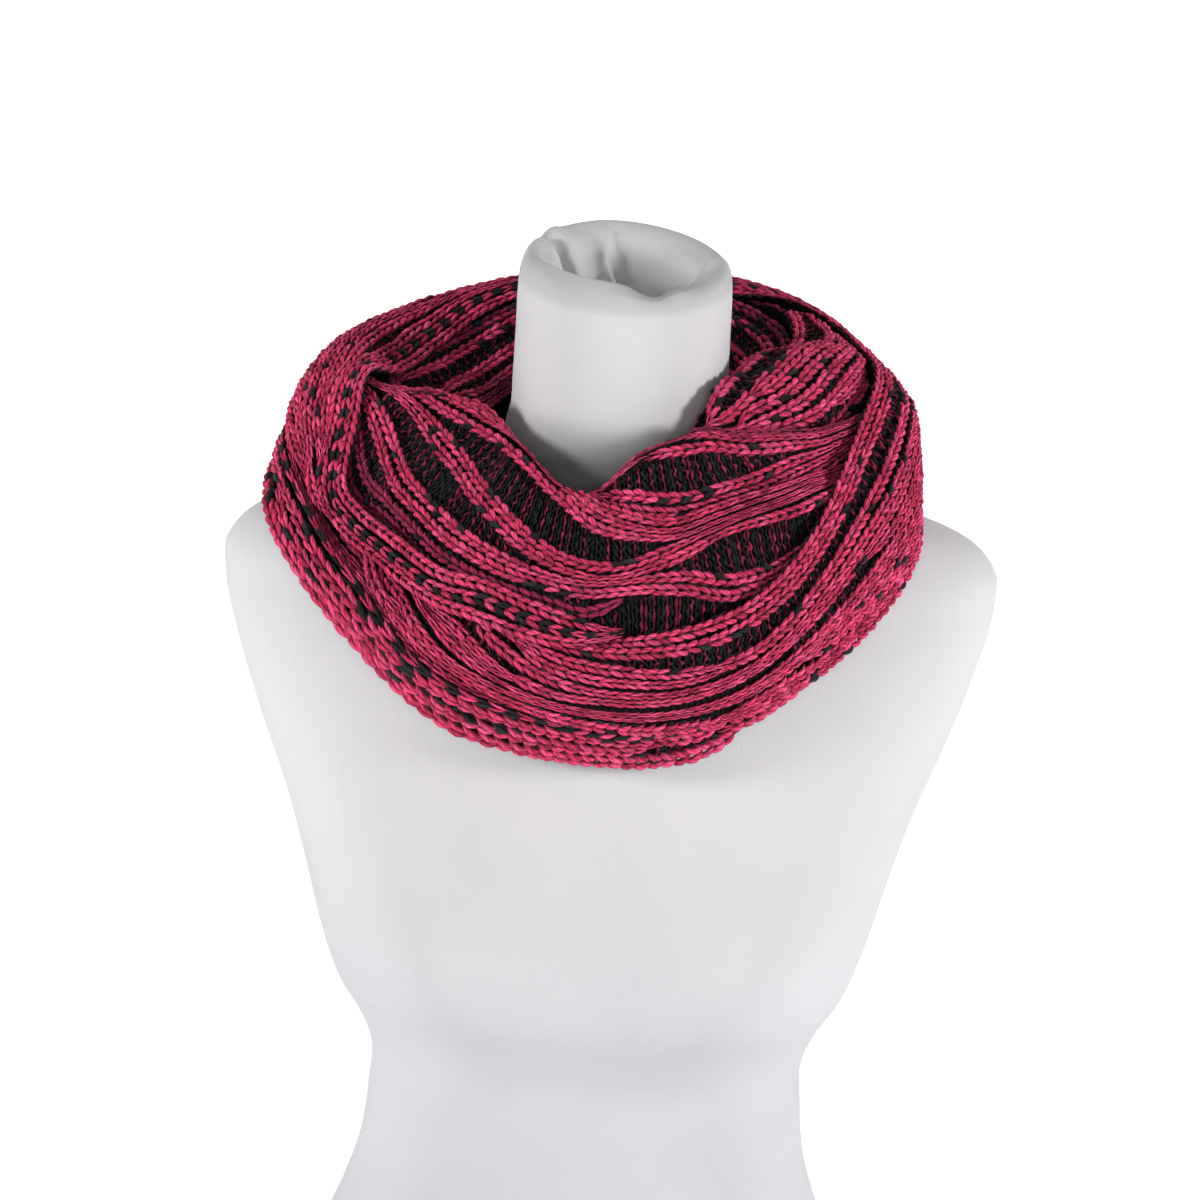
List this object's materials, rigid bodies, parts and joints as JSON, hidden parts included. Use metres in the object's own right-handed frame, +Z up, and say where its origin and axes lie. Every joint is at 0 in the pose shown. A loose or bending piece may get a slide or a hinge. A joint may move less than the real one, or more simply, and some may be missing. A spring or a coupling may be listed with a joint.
{
  "type": "infinity scarf on dress form",
  "caption": "Chunky rib-knit infinity scarf wound in two turns round the neck and shoulders of the limbless dress form that it rests on.",
  "frame": {"origin": "on the flat base of the dress form, at the middle of the whole part's length and width", "axes": "+Z up along the form's neck, -Y out of the chest towards the viewer, +X towards the viewer's right (the form's left shoulder)"},
  "size_m": [0.414, 0.2763, 0.6398],
  "materials": {
    "knit": "chunky two-colour rib knit in deep pink and charcoal yarn, slightly fuzzy",
    "jersey": "matt white cotton jersey stretched over a smooth form"
  },
  "bodies": {
    "root": {"dress_form": "jersey", "lower_wrap": "knit", "front_wrap": "knit", "upper_wrap": "knit", "neck_drape": "knit", "neck_edge": "knit", "shoulder_fan": "knit", "inner_wrap": "knit"}
  },
  "joints": []
}
